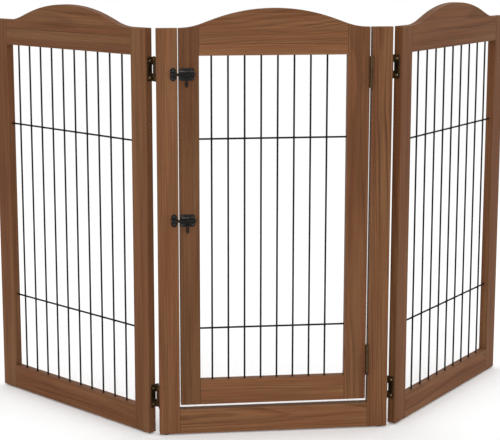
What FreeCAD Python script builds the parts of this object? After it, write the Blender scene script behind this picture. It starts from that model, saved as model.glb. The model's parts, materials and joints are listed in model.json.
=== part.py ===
"""Free-standing folding gate of three wooden panels with wire bars and a walk-through door.

+X runs along the centre panel to the right, +Y to the back, +Z up, in millimetres. The origin is
the middle of the gate's bounding box, on the floor. Every panel is drawn in line with the centre
panel first, and each wing is then turned back about its hinge pins to the angle it stands at.
"""
import FreeCAD, Part
import math
import os

Vector = FreeCAD.Vector
UP = Vector(0, 0, 1)
RIGHT = Vector(1, 0, 0)
BACK = Vector(0, 1, 0)

# Overall sizes
panel_width = 496.0
panel_thickness = 20.0
post_height = 872.0          # wood only, without the glide below it
crest_rise = 40.0            # the arch above the shoulders
panel_gap = 6.0              # between the edges of two panels that stand in line
fold_angle = 48.0            # how far each wing is turned back at rest

# Wooden members
stile_width = 44.0
bottom_rail_height = 54.0
top_rail_height = 57.0       # crest board and glued strip together, at the shoulder
door_strip_height = 24.0
wing_strip_height = 38.0
edge_rounding = 1.6
seam_groove = 0.5            # depth of the fine V at each glued joint
crest_slope_share = 0.88     # 1.0 would leave no straight run between the two arcs of the crest
crest_foot_share = 0.26      # the hollow arc's part of the two radii
wing_shoulder = 6.0          # level run past the stile before the arch starts
door_shoulder = 2.0
dowel_radius = 4.0
dowel_reach = 20.0           # into each of the two members
dowel_edge = 15.0            # lowest dowel's height above the rail's lower edge
dowel_pitch = 24.0

# Door in the centre frame
latch_gap = 2.2
hinge_gap = 4.5
sill_gap = 10.0              # under the door, above the frame's bottom rail
latch_stile_width = 42.3
hinge_stile_width = 47.0

# Wire bars
wire_radius = 2.0
wire_hold = 10.0             # length let into the wood at each end
weld_depth = 0.1             # how far the level wires sink into the upright ones
door_wire_pitch = 34.8
door_wire_count = 8
door_first_wire = 26.0       # from the latch stile
left_wire_pitch = 37.8
left_wire_count = 10
right_wire_pitch = 40.9
right_wire_count = 9
door_level_heights = (234.0, 643.0)
left_level_heights = (230.0, 636.0)
right_level_heights = (222.0, 630.0)

# Glides
glide_radius = 6.5
glide_height = 3.0
glide_rounding = 0.8
glide_nail_radius = 1.5
glide_nail_length = 9.0
post_glide_inset = 15.0      # from the post's outer edge
wing_glide_inset = 22.0

# Hinges between the panels: butt hinges with the pin just behind the back face
panel_hinge_height = 51.0
panel_hinge_depth = 14.6     # leaf on the wood
panel_hinge_from_top = 85.0
panel_hinge_from_floor = 84.0
panel_pin_offset = 3.0
panel_barrel_radius = 2.85
panel_leaf_thickness = 1.4
panel_hinge_screw_pitch = 35.0

# Hinges of the door: butt hinges with the pin just in front of the front face
door_hinge_height = 66.0
door_hinge_depth = 15.0
door_hinge_from_top = 94.0
door_hinge_from_floor = 155.0
door_pin_offset = 3.7
door_barrel_radius = 3.3
door_leaf_thickness = 1.2
door_hinge_screw_pitch = 46.0

# Common to all hinges
pin_radius = 1.3
pin_running_clearance = 0.06
knuckle_clearance = 0.3      # between knuckles, up and down
notch_clearance = 1.2        # between a leaf and the other leaf's knuckle
leaf_corner_radius = 3.0
pin_head_height = 0.9
pin_head_inset = 0.4         # how far the pin's head stays inside the knuckles' radius
hinge_screw_radius = 1.5
hinge_screw_length = 13.0
hinge_head_radius = 3.0
panel_head_height = 0.9
door_head_height = 0.5

# Barrel bolts
bolt_heights_from_top = {"upper": 95.0, "lower": 403.0}
bolt_radius = 3.0
bolt_running_clearance = 0.08
bolt_axis_offset = 5.7       # in front of the door's face
bolt_length = 38.0
bolt_tip_rounding = 1.0
bolt_waist_radius = 2.0      # the rod where the knob's collar runs
bolt_throw = 11.0            # from rest into the keeper
bolt_draw = 9.0              # from rest away from the keeper
case_width = 31.0
case_height = 26.0
case_plate_thickness = 1.5
case_corner_radius = 4.0
case_inset = 0.8             # from the latch stile's outer edge
case_barrel_wall = 2.0
case_screw_spread = (22.0, 18.0)
keeper_width = 12.0
keeper_inset = 3.5           # from the post's inner edge to the keeper's edge
keeper_lobe_radius = 6.2
keeper_lobe_spread = 15.0
keeper_plate_thickness = 1.2
keeper_passage_clearance = 0.6
keeper_strap_wall = 1.8
keeper_strap_flat = 0.6      # half of the strap's flat front
tip_clearance = 1.4          # from the keeper to the drawn bolt's tip
knob_neck_radius = 1.7
knob_neck_clearance = 0.5    # between the neck and the ends of the window it slides in
knob_neck_length = 3.6       # from the rod to the grip
knob_collar_width = 3.8
knob_collar_clearance = 0.3  # on each side of the collar
knob_radius = 3.0
knob_length = 20.0
knob_bead_height = 2.8       # bead at the grip's top
knob_bead_inset = 0.8
knob_hollow_share = 0.35     # of the grip's length, from its top to the end of the hollow
knob_groove_depth = 0.7
knob_end_height = 1.5
latch_screw_radius = 1.2
latch_screw_length = 9.0
latch_head_radius = 2.2
latch_head_height = 0.7

# Worked out from the sizes above
floor_to_wood = glide_height
shoulder_level = floor_to_wood + post_height
opening_top = shoulder_level - top_rail_height
frame_rail_top = floor_to_wood + bottom_rail_height
half_panel = panel_width / 2
doorway_half = half_panel - stile_width
door_left = -doorway_half + latch_gap
door_right = doorway_half - hinge_gap
door_bottom = frame_rail_top + sill_gap
fold_pin_x = half_panel + panel_gap / 2
fold_pin_y = panel_thickness + panel_pin_offset
door_pin_x = doorway_half - hinge_gap / 2
door_pin_y = -door_pin_offset
mid_thickness = panel_thickness / 2


def block(x0, x1, y0, y1, z0, z1):
    """Box between two corners, given in any order along X."""
    low = min(x0, x1)
    return Part.makeBox(abs(x1 - x0), y1 - y0, z1 - z0, Vector(low, y0, z0))


def tube(start, direction, radius, length):
    """Solid cylinder from a point along a direction."""
    return Part.makeCylinder(radius, length, start, direction)


def joined(shapes):
    """One solid out of overlapping or touching ones."""
    whole = shapes[0]
    for shape in shapes[1:]:
        whole = whole.fuse(shape)
    return whole.removeSplitter()


def drilled(shape, tools):
    """A member with room cut for the pieces that are let into it."""
    for tool in tools:
        shape = shape.cut(tool)
    return shape


def edges_where(shape, test):
    """Edges whose every vertex passes a test on its position."""
    return [edge for edge in shape.Edges if all(test(vertex.Point) for vertex in edge.Vertexes)]


# ------------------------------------------------------------------ wooden panels

def arc_about(centre_x, centre_z, radius, start_angle, end_angle):
    """Arc in the XZ plane between two angles in degrees."""
    def at(angle):
        turn = math.radians(angle)
        return Vector(centre_x + radius * math.cos(turn), 0, centre_z + radius * math.sin(turn))
    return Part.Arc(at(start_angle), at((start_angle + end_angle) / 2), at(end_angle)).toShape()


def crest_edges(middle_x, half_run):
    """Top edge of an arched panel from left to right: hollow arc, straight run, round crown."""
    slope = crest_slope_share * 2 * math.atan2(crest_rise, half_run)
    rise_of_arcs = 1 - math.cos(slope)
    radii = (half_run * math.sin(slope) - crest_rise * math.cos(slope)) / rise_of_arcs
    foot_radius = crest_foot_share * radii
    crown_radius = radii - foot_radius
    turn = math.degrees(slope)
    foot_z = shoulder_level + foot_radius
    crown_z = shoulder_level + crest_rise - crown_radius
    left_foot = arc_about(middle_x - half_run, foot_z, foot_radius, -90, -90 + turn)
    crown = arc_about(middle_x, crown_z, crown_radius, 90 + turn, 90 - turn)
    right_foot = arc_about(middle_x + half_run, foot_z, foot_radius, -90 - turn, -90)

    def end(edge, last):
        return edge.valueAt(edge.LastParameter if last else edge.FirstParameter)

    rising = Part.makeLine(end(left_foot, True), end(crown, False))
    falling = Part.makeLine(end(crown, True), end(right_foot, False))
    return [left_foot, rising, crown, falling, right_foot]


def arched_outline(left, right, bottom, half_run):
    """Closed outline of an arched panel in the XZ plane."""
    middle = (left + right) / 2
    corners = [Vector(middle + half_run, 0, shoulder_level), Vector(right, 0, shoulder_level),
               Vector(right, 0, bottom), Vector(left, 0, bottom), Vector(left, 0, shoulder_level),
               Vector(middle - half_run, 0, shoulder_level)]
    sides = [Part.makeLine(a, b) for a, b in zip(corners, corners[1:])]
    return Part.Wire(crest_edges(middle, half_run) + sides)


def sanded(panel):
    """Round the edges of the front and the back face."""
    faces = (0.0, panel_thickness)
    around = [edge for level in faces
              for edge in edges_where(panel, lambda point: abs(point.y - level) < 1e-6)]
    return panel.makeFillet(edge_rounding, around)


def grooved(panel, seams):
    """Cut a fine V along each seam, on the front and the back."""
    for start, end in seams:
        along = end - start
        length = along.Length
        for level in (0.0, panel_thickness):
            cutter = Part.makeBox(seam_groove * math.sqrt(2), seam_groove * math.sqrt(2), length)
            cutter.translate(Vector(-seam_groove / math.sqrt(2), -seam_groove / math.sqrt(2), 0))
            cutter.rotate(Vector(), UP, 45)
            cutter.Placement = FreeCAD.Placement(
                start + BACK * level, FreeCAD.Rotation(UP, along)).multiply(cutter.Placement)
            panel = panel.cut(cutter)
    return panel


def arched_members(left, right, bottom, left_stile, right_stile, strip_height, half_run):
    """The five wooden members of an arched panel, by place."""
    inner_left = left + left_stile
    inner_right = right - right_stile
    rail_top = bottom + bottom_rail_height
    strip_top = opening_top + strip_height
    peak = shoulder_level + crest_rise + 1
    depth = (0, panel_thickness)
    face = Part.Face(arched_outline(left, right, bottom, half_run))
    panel = face.extrude(BACK * panel_thickness)
    panel = panel.cut(block(inner_left, inner_right, *depth, rail_top, opening_top))
    panel = sanded(panel)
    seams = [(Vector(x, 0, low), Vector(x, 0, high))
             for x in (inner_left, inner_right)
             for low, high in ((bottom, rail_top), (opening_top, peak))]
    seams.append((Vector(inner_left, 0, strip_top), Vector(inner_right, 0, strip_top)))
    panel = grooved(panel, seams)
    zones = {
        "left_stile": block(left, inner_left, *depth, bottom, peak),
        "right_stile": block(inner_right, right, *depth, bottom, peak),
        "bottom_rail": block(inner_left, inner_right, *depth, bottom, rail_top),
        "top_strip": block(inner_left, inner_right, *depth, opening_top, strip_top),
        "crest": block(inner_left, inner_right, *depth, strip_top, peak),
    }
    return {place: panel.common(zone) for place, zone in zones.items()}


def arched_dowels(inner_left, inner_right, bottom, strip_height):
    """Dowels across the joints between the rails and the stiles."""
    strip_middle = opening_top + strip_height / 2
    crest_middle = (opening_top + strip_height + shoulder_level) / 2
    first = bottom + dowel_edge
    heights = (first, first + dowel_pitch, strip_middle, crest_middle)
    return [tube(Vector(x - dowel_reach, mid_thickness, z), RIGHT, dowel_radius, 2 * dowel_reach)
            for x in (inner_left, inner_right) for z in heights]


def upright_wires(first_x, pitch, count, bottom):
    """Upright bars, let into the bottom rail and the top strip."""
    low = bottom + bottom_rail_height - wire_hold
    length = opening_top + wire_hold - low
    y = mid_thickness - wire_radius
    return [tube(Vector(first_x + index * pitch, y, low), UP, wire_radius, length)
            for index in range(count)]


def level_wires(inner_left, inner_right, heights):
    """Level bars behind the upright ones, let into the stiles."""
    y = mid_thickness + wire_radius - weld_depth
    length = inner_right - inner_left + 2 * wire_hold
    return [tube(Vector(inner_left - wire_hold, y, z), RIGHT, wire_radius, length)
            for z in heights]


def glide(x):
    """Round floor glide with its nail, under the wood at a place along X."""
    disc = tube(Vector(x, mid_thickness, 0), UP, glide_radius, glide_height)
    rim = edges_where(disc, lambda point: abs(point.z) < 1e-6)
    disc = disc.makeFillet(glide_rounding, rim)
    nail = tube(Vector(x, mid_thickness, glide_height / 2), UP, glide_nail_radius,
                glide_height / 2 + glide_nail_length)
    return disc.fuse(nail)


# ------------------------------------------------------------------ hinges and screws

def domed_screw(seat, outward, shank_radius, shank_length, head_radius, head_height):
    """Screw with a domed head that sits on a surface at `seat`."""
    ball_radius = (head_radius ** 2 + head_height ** 2) / (2 * head_height)
    centre = seat - outward * (ball_radius - head_height)
    head = Part.makeSphere(ball_radius, centre).common(
        tube(seat, outward, head_radius, head_height + 1))
    shank = tube(seat - outward * shank_length, outward, shank_radius, shank_length)
    return head.fuse(shank)


class ButtHinge:
    """A butt hinge on an upright pin, its two leaves face to face in the gap between panels.

    `inward` is +1 or -1, the way along Y from the pin to the wood. `fixed_side` is the way along
    X from the pin to the leaf that stays.
    """

    def __init__(self, pin_x, pin_y, middle_z, inward, fixed_side, kind):
        sizes = {
            "panel": (panel_hinge_height, panel_hinge_depth, panel_pin_offset, panel_barrel_radius,
                      panel_leaf_thickness, panel_gap, panel_hinge_screw_pitch, 3, 2,
                      panel_head_height),
            "door": (door_hinge_height, door_hinge_depth, door_pin_offset, door_barrel_radius,
                     door_leaf_thickness, hinge_gap, door_hinge_screw_pitch, 5, 3,
                     door_head_height),
        }
        (self.height, self.depth, self.offset, self.barrel, self.thickness, self.gap,
         self.screw_pitch, self.knuckles, self.screw_count, self.head_height) = sizes[kind]
        self.pin_x = pin_x
        self.pin_y = pin_y
        self.bottom = middle_z - self.height / 2
        self.middle_z = middle_z
        self.inward = inward
        self.fixed_side = fixed_side
        self.fixed_has_middle = kind == "panel"

    def spans(self, fixed):
        """Lower and upper ends of a leaf's own knuckles."""
        pitch = self.height / self.knuckles
        wanted = 1 if fixed == self.fixed_has_middle else 0
        free = knuckle_clearance / 2
        return [(self.bottom + index * pitch + (free if index else 0),
                 self.bottom + (index + 1) * pitch - (free if index < self.knuckles - 1 else 0))
                for index in range(self.knuckles) if index % 2 == wanted]

    def local_block(self, side, x0, x1, y0, y1, z0, z1):
        """Box given from the pin: X towards a side, Y towards the wood."""
        low, high = sorted((self.pin_y + self.inward * y0, self.pin_y + self.inward * y1))
        return block(self.pin_x + side * x0, self.pin_x + side * x1, low, high, z0, z1)

    def leaf(self, fixed):
        """One leaf: plate on the wood's edge, tongues and rolled knuckles round the pin."""
        side = self.fixed_side if fixed else -self.fixed_side
        outer = self.gap / 2
        inner = outer - self.thickness
        notch = self.barrel + notch_clearance
        reach = self.offset + self.depth
        top = self.bottom + self.height
        plate = self.local_block(side, inner, outer, notch, reach, self.bottom, top)
        far_y = self.pin_y + self.inward * reach
        corners = [edge for edge in edges_where(plate, lambda point: abs(point.y - far_y) < 1e-6)
                   if abs(edge.Vertexes[0].Z - edge.Vertexes[1].Z) < 1e-6]
        plate = plate.makeFillet(leaf_corner_radius, corners)
        parts = [plate]
        for low, high in self.spans(fixed):
            parts.append(self.local_block(side, inner, outer, 0, notch, low, high))
            parts.append(tube(Vector(self.pin_x, self.pin_y, low), UP, self.barrel, high - low))
        clearance = 0 if fixed else pin_running_clearance
        bore = tube(Vector(self.pin_x, self.pin_y, self.bottom - 1), UP,
                    pin_radius + clearance, self.height + 2)
        return joined(parts).cut(bore)

    def pin(self):
        """Pin with a low domed head just clear of the knuckles at each end."""
        top = self.bottom + self.height + knuckle_clearance
        foot = self.bottom - knuckle_clearance
        heads = [domed_screw(Vector(self.pin_x, self.pin_y, z), way, pin_radius, self.height / 2,
                             self.barrel - pin_head_inset, pin_head_height)
                 for z, way in ((top, UP), (foot, UP * -1))]
        shaft = tube(Vector(self.pin_x, self.pin_y, foot), UP, pin_radius, top - foot)
        return joined([shaft] + heads)

    def screws(self, fixed):
        """Screws through one leaf into the wood's edge."""
        side = self.fixed_side if fixed else -self.fixed_side
        seat_x = self.pin_x + side * (self.gap / 2 - self.thickness)
        y = self.pin_y + self.inward * (self.offset + self.depth / 2)
        step = self.screw_pitch / (self.screw_count - 1)
        first = self.middle_z - self.screw_pitch / 2
        return [domed_screw(Vector(seat_x, y, first + index * step), RIGHT * -side,
                            hinge_screw_radius, hinge_screw_length, hinge_head_radius,
                            self.head_height)
                for index in range(self.screw_count)]


# ------------------------------------------------------------------ barrel bolts

def rounded_plate(x0, x1, z_middle, height, thickness, radius):
    """Plate on the front face with rounded corners."""
    plate = block(x0, x1, -thickness, 0, z_middle - height / 2, z_middle + height / 2)
    corners = [edge for edge in plate.Edges
               if abs(edge.Vertexes[0].Y - edge.Vertexes[1].Y) > thickness / 2]
    return plate.makeFillet(radius, corners)


class BarrelBolt:
    """Barrel bolt on the door's latch stile with its keeper on the post, at one height."""

    def __init__(self, axis_z):
        self.z = axis_z
        self.y = -bolt_axis_offset
        self.case_left = door_left + case_inset
        self.case_right = self.case_left + case_width
        self.keeper_right = -doorway_half - keeper_inset
        self.keeper_left = self.keeper_right - keeper_width
        self.tip_x = self.keeper_right + tip_clearance
        window_wall = case_barrel_wall
        self.window_left = self.case_left + window_wall
        self.knob_x = self.window_left + knob_neck_radius + knob_neck_clearance + bolt_throw
        self.window_right = self.knob_x + bolt_draw + knob_neck_radius + knob_neck_clearance

    def screw(self, x, z, thickness):
        """Screw through a plate of the bolt or keeper."""
        return domed_screw(Vector(x, -thickness, z), BACK * -1, latch_screw_radius,
                           latch_screw_length, latch_head_radius, latch_head_height)

    def case_screws(self):
        """Four screws through the case's corners."""
        middle = (self.case_left + self.case_right) / 2
        wide, tall = case_screw_spread
        return [self.screw(middle + sx * wide / 2, self.z + sz * tall / 2, case_plate_thickness)
                for sx in (-1, 1) for sz in (-1, 1)]

    def keeper_screws(self):
        """Two screws, one through each lobe of the keeper."""
        middle = (self.keeper_left + self.keeper_right) / 2
        return [self.screw(middle, self.z + sz * keeper_lobe_spread / 2, keeper_plate_thickness)
                for sz in (-1, 1)]

    def case(self):
        """Plate with a raised barrel, open below and in front where the knob's neck slides."""
        plate = rounded_plate(self.case_left, self.case_right, self.z, case_height,
                              case_plate_thickness, case_corner_radius)
        bore_radius = bolt_radius + bolt_running_clearance
        outer = bore_radius + case_barrel_wall
        start = Vector(self.case_left, self.y, self.z)
        barrel = tube(start, RIGHT, outer, case_width)
        webs = block(self.case_left, self.case_right, self.y, -case_plate_thickness / 2,
                     self.z - outer, self.z + outer)
        body = joined([plate, barrel, webs])
        body = body.cut(tube(start, RIGHT, bore_radius, case_width))
        window_back = -case_plate_thickness
        window = block(self.window_left, self.window_right, self.y - outer - 1, window_back,
                       self.z - outer - 1, self.z + knob_neck_radius + knob_neck_clearance)
        return body.cut(window)

    def bolt(self):
        """Sliding rod with a rounded tip and a waist for the knob's collar."""
        rod = tube(Vector(self.tip_x, self.y, self.z), RIGHT, bolt_radius, bolt_length)
        tip = edges_where(rod, lambda point: abs(point.x - self.tip_x) < 1e-6)
        rod = rod.makeFillet(bolt_tip_rounding, tip)
        return rod.cut(self.ring(knob_collar_width + 2 * knob_collar_clearance, bolt_waist_radius,
                                 bolt_radius + bolt_running_clearance))

    def ring(self, width, inner, outer):
        """Ring about the bolt's axis at the knob's place."""
        start = Vector(self.knob_x - width / 2, self.y, self.z)
        return tube(start, RIGHT, outer, width).cut(tube(start, RIGHT, inner, width))

    def knob(self):
        """Turned finger knob that hangs from a collar on the rod, with a hollow and a round end."""
        collar_bore = bolt_waist_radius + pin_running_clearance
        collar = self.ring(knob_collar_width, collar_bore, bolt_radius)
        top = self.z - bolt_radius - knob_neck_length
        bottom = top - knob_length
        bead_foot = top - knob_bead_height
        hollow_foot = top - knob_length * knob_hollow_share
        end_top = bottom + knob_end_height
        neck_top = self.z - (collar_bore + bolt_radius) / 2
        neck = tube(Vector(self.knob_x, self.y, bead_foot), UP, knob_neck_radius,
                    neck_top - bead_foot)
        lip = knob_radius - knob_bead_inset
        waist = knob_radius - knob_groove_depth
        end_ball = (waist ** 2 + knob_end_height ** 2) / (2 * knob_end_height)
        end_turn = math.asin(waist / end_ball) / 2

        def at(radius, height):
            return Vector(self.knob_x + radius, self.y, height)

        profile = [
            Part.makeLine(at(0, top), at(lip, top)),
            Part.Arc(at(lip, top), at(knob_radius, (top + bead_foot) / 2),
                     at(lip, bead_foot)).toShape(),
            Part.Arc(at(lip, bead_foot), at(waist, (bead_foot + hollow_foot) / 2),
                     at(lip, hollow_foot)).toShape(),
            Part.Arc(at(lip, hollow_foot), at(knob_radius, (hollow_foot + bottom) / 2),
                     at(waist, end_top)).toShape(),
            Part.Arc(at(waist, end_top), at(end_ball * math.sin(end_turn),
                                            bottom + end_ball * (1 - math.cos(end_turn))),
                     at(0, bottom)).toShape(),
            Part.makeLine(at(0, bottom), at(0, top)),
        ]
        face = Part.Face(Part.Wire(profile))
        grip = face.revolve(Vector(self.knob_x, self.y, 0), UP, 360)
        return joined([collar, neck, grip])

    def keeper(self):
        """Plate with two round lobes and a raised strap that the rod slides under."""
        middle = (self.keeper_left + self.keeper_right) / 2
        parts = [block(self.keeper_left, self.keeper_right, -keeper_plate_thickness, 0,
                       self.z - keeper_lobe_spread / 2, self.z + keeper_lobe_spread / 2)]
        for way in (-1, 1):
            lobe_z = self.z + way * keeper_lobe_spread / 2
            parts.append(tube(Vector(middle, 0, lobe_z), BACK * -1, keeper_lobe_radius,
                              keeper_plate_thickness))
        half_passage = bolt_radius + keeper_passage_clearance
        half_strap = half_passage + keeper_strap_wall
        strap = block(self.keeper_left, self.keeper_right, self.y - half_strap, 0,
                      self.z - half_strap, self.z + half_strap)
        front = self.y - half_strap
        crown = [edge for edge in edges_where(strap, lambda point: abs(point.y - front) < 1e-6)
                 if abs(edge.Vertexes[0].X - edge.Vertexes[1].X) > 1]
        strap = strap.makeFillet(half_strap - keeper_strap_flat, crown)
        passage = block(self.keeper_left - 1, self.keeper_right + 1, self.y - half_passage,
                        -keeper_plate_thickness, self.z - half_passage, self.z + half_passage)
        return joined(parts + [strap]).cut(passage)


# ------------------------------------------------------------------ assemblies

def centre_frame_pieces(hinges, bolts):
    """Posts, bottom rail, keepers, fixed leaves and pins of the centre frame."""
    bottom = floor_to_wood
    depth = (0, panel_thickness)
    panel = block(-half_panel, half_panel, *depth, bottom, shoulder_level)
    panel = panel.cut(block(-doorway_half, doorway_half, *depth, frame_rail_top,
                            shoulder_level + 1))
    panel = sanded(panel)
    seams = [(Vector(x, 0, bottom), Vector(x, 0, frame_rail_top))
             for x in (-doorway_half, doorway_half)]
    panel = grooved(panel, seams)
    dowels = [tube(Vector(x - dowel_reach, mid_thickness, bottom + dowel_edge + rise), RIGHT,
                   dowel_radius, 2 * dowel_reach)
              for x in (-doorway_half, doorway_half) for rise in (0, dowel_pitch)]
    glides = [glide(side * (half_panel - post_glide_inset)) for side in (-1, 1)]
    hinge_screws = [screw for hinge in hinges.values() for screw in hinge.screws(fixed=True)]
    keeper_screws = [screw for bolt in bolts.values() for screw in bolt.keeper_screws()]
    let_in = dowels + glides + hinge_screws + keeper_screws
    top = shoulder_level + 1
    pieces = {
        "left_post": block(-half_panel, -doorway_half, *depth, bottom, top),
        "right_post": block(doorway_half, half_panel, *depth, bottom, top),
        "frame_bottom_rail": block(-doorway_half, doorway_half, *depth, bottom, top),
    }
    pieces = {name: drilled(panel.common(zone), let_in) for name, zone in pieces.items()}
    pieces["frame_dowels"] = dowels
    pieces["frame_glides"] = glides
    for name, hinge in hinges.items():
        pieces[name + "_fixed_leaf"] = drilled(hinge.leaf(fixed=True), hinge.screws(fixed=True))
    for place in ("left", "right", "door"):
        pieces[place + "_hinge_pins"] = [hinge.pin() for name, hinge in hinges.items()
                                         if name.startswith(place)]
    for name, bolt in bolts.items():
        pieces[name + "_keeper"] = drilled(bolt.keeper(), bolt.keeper_screws())
    pieces["frame_hinge_screws"] = hinge_screws
    pieces["keeper_screws"] = keeper_screws
    return pieces


def door_pieces(hinges, bolts):
    """Wood, wires, moving leaves and bolt cases of the door."""
    half_run = (door_right - door_left) / 2 - door_shoulder
    members = arched_members(door_left, door_right, door_bottom, latch_stile_width,
                             hinge_stile_width, door_strip_height, half_run)
    inner_left = door_left + latch_stile_width
    inner_right = door_right - hinge_stile_width
    dowels = arched_dowels(inner_left, inner_right, door_bottom, door_strip_height)
    uprights = upright_wires(inner_left + door_first_wire, door_wire_pitch, door_wire_count,
                             door_bottom)
    levels = level_wires(inner_left, inner_right, door_level_heights)
    hinge_screws = [screw for hinge in hinges.values() for screw in hinge.screws(fixed=False)]
    case_screws = [screw for bolt in bolts.values() for screw in bolt.case_screws()]
    let_in = dowels + uprights + levels + hinge_screws + case_screws
    names = {"left_stile": "door_latch_stile", "right_stile": "door_hinge_stile",
             "bottom_rail": "door_bottom_rail", "top_strip": "door_top_strip",
             "crest": "door_crest"}
    pieces = {names[place]: drilled(shape, let_in) for place, shape in members.items()}
    pieces["door_dowels"] = dowels
    pieces["door_upright_wires"] = uprights
    pieces["door_level_wires"] = levels
    for name, hinge in hinges.items():
        pieces[name + "_moving_leaf"] = drilled(hinge.leaf(fixed=False),
                                                hinge.screws(fixed=False))
    for name, bolt in bolts.items():
        pieces[name + "_bolt_case"] = drilled(bolt.case(), bolt.case_screws())
    pieces["door_hinge_screws"] = hinge_screws
    pieces["case_screws"] = case_screws
    return pieces


def wing_pieces(name, side, hinges, pitch, count, heights):
    """One wing, drawn in line with the centre panel; `side` is -1 on the left, +1 on the right."""
    near = side * (half_panel + panel_gap)
    far = near + side * panel_width
    left, right = sorted((near, far))
    half_run = panel_width / 2 - stile_width - wing_shoulder
    members = arched_members(left, right, floor_to_wood, stile_width, stile_width,
                             wing_strip_height, half_run)
    inner_left = left + stile_width
    inner_right = right - stile_width
    middle = (left + right) / 2
    dowels = arched_dowels(inner_left, inner_right, floor_to_wood, wing_strip_height)
    uprights = upright_wires(middle - (count - 1) * pitch / 2, pitch, count, floor_to_wood)
    levels = level_wires(inner_left, inner_right, heights)
    glides = [glide(x) for x in (left + wing_glide_inset, right - wing_glide_inset)]
    screws = [screw for hinge in hinges.values() for screw in hinge.screws(fixed=False)]
    let_in = dowels + uprights + levels + glides + screws
    near_place, far_place = ("right", "left") if side < 0 else ("left", "right")
    names = {near_place + "_stile": "near_stile", far_place + "_stile": "far_stile"}
    pieces = {names.get(place, place): drilled(shape, let_in)
              for place, shape in members.items()}
    pieces["dowels"] = dowels
    pieces["upright_wires"] = uprights
    pieces["level_wires"] = levels
    pieces["glides"] = glides
    pieces["screws"] = screws
    for hinge_name, hinge in hinges.items():
        short = hinge_name.split("_")[1]
        pieces[short + "_leaf"] = drilled(hinge.leaf(fixed=False), hinge.screws(fixed=False))
    return {name + "_" + piece: shape for piece, shape in pieces.items()}


def solid_group(shape):
    """A single shape out of one solid or a list of separate ones."""
    if isinstance(shape, list):
        return Part.makeCompound([solid for part in shape for solid in part.Solids])
    return shape


def build_gate():
    """All nodes of the gate at rest, by name, and its two bolts."""
    panel_levels = {"upper": shoulder_level - panel_hinge_from_top,
                    "lower": panel_hinge_from_floor}
    door_levels = {"upper": shoulder_level - door_hinge_from_top,
                   "lower": door_hinge_from_floor}
    left_hinges = {"left_" + level: ButtHinge(-fold_pin_x, fold_pin_y, z, -1, 1, "panel")
                   for level, z in panel_levels.items()}
    right_hinges = {"right_" + level: ButtHinge(fold_pin_x, fold_pin_y, z, -1, -1, "panel")
                    for level, z in panel_levels.items()}
    door_hinges = {"door_" + level: ButtHinge(door_pin_x, door_pin_y, z, 1, 1, "door")
                   for level, z in door_levels.items()}
    bolts = {name: BarrelBolt(shoulder_level - down)
             for name, down in bolt_heights_from_top.items()}

    pieces = centre_frame_pieces({**left_hinges, **right_hinges, **door_hinges}, bolts)
    pieces.update(door_pieces(door_hinges, bolts))
    for name, bolt in bolts.items():
        pieces[name + "_bolt"] = bolt.bolt()
        pieces[name + "_knob"] = bolt.knob()
    wings = (("left_wing", -1, left_hinges, left_wire_pitch, left_wire_count,
              left_level_heights),
             ("right_wing", 1, right_hinges, right_wire_pitch, right_wire_count,
              right_level_heights))
    for name, side, hinges, pitch, count, heights in wings:
        for node, shape in wing_pieces(name, side, hinges, pitch, count, heights).items():
            turned = solid_group(shape)
            turned.rotate(Vector(side * fold_pin_x, fold_pin_y, 0), UP, side * fold_angle)
            pieces[node] = turned
    return {node: solid_group(shape) for node, shape in pieces.items()}, bolts


def main():
    """Build the gate, centre it on the floor and write one STEP file for each node."""
    pieces, bolts = build_gate()
    box = Part.makeCompound(list(pieces.values())).optimalBoundingBox()
    shift = Vector(-(box.XMin + box.XMax) / 2, -(box.YMin + box.YMax) / 2, -box.ZMin)
    os.makedirs("parts", exist_ok=True)
    for node, shape in pieces.items():
        moved = shape.copy()
        moved.translate(shift)
        moved.exportStep("parts/" + node + ".step")
    print("nodes", len(pieces))
    print("size", [round(v, 2) for v in (box.XLength, box.YLength, box.ZLength)])
    print("fold pins x +-", fold_pin_x + shift.x, "y", fold_pin_y + shift.y)
    print("door pin", door_pin_x + shift.x, door_pin_y + shift.y)
    for name, bolt in bolts.items():
        print(name, "bolt axis", bolt.y + shift.y, bolt.z + shift.z, "tip", bolt.tip_x,
              "keeper", bolt.keeper_left, bolt.keeper_right)


if __name__ == "__main__":
    main()
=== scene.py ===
"""Finishes of a free-standing folding gate: timber, wire bars and ironmongery.

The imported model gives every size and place, in metres: +X to the right along the middle panel, +Y
to the back, +Z up. The boards stay as they are and get their grain. Wires, screws and fittings are
made here and stand for the plain ones; the weld beads are added.
"""
import json
import logging
import math
from collections.abc import Iterable, Mapping, Sequence
from dataclasses import dataclass
from enum import Enum

import bmesh
import bpy
from bmesh.types import BMesh
from bpy.types import Material, Mesh, Node, NodeSocket, NodeTree, Object
from mathutils import Euler, Matrix, Vector


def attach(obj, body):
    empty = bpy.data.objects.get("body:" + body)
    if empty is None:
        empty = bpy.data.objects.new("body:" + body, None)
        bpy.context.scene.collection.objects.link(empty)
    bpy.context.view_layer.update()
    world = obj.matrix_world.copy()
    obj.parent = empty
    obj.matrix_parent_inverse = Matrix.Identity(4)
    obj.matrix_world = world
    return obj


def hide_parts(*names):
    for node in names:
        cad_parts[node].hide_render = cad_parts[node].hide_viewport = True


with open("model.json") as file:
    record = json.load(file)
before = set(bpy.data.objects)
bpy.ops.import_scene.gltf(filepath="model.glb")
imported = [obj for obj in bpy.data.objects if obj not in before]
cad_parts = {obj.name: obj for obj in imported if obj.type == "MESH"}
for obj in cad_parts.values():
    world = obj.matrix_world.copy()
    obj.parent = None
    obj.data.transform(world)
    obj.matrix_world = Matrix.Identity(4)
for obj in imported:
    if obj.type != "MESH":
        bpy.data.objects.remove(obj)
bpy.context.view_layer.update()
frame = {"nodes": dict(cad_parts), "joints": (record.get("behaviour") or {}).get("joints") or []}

Colour = tuple[float, float, float, float]
Triple = tuple[float, float, float]
Span = tuple[float, float]
Groups = Mapping[str, NodeTree]

MM = 0.001
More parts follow.
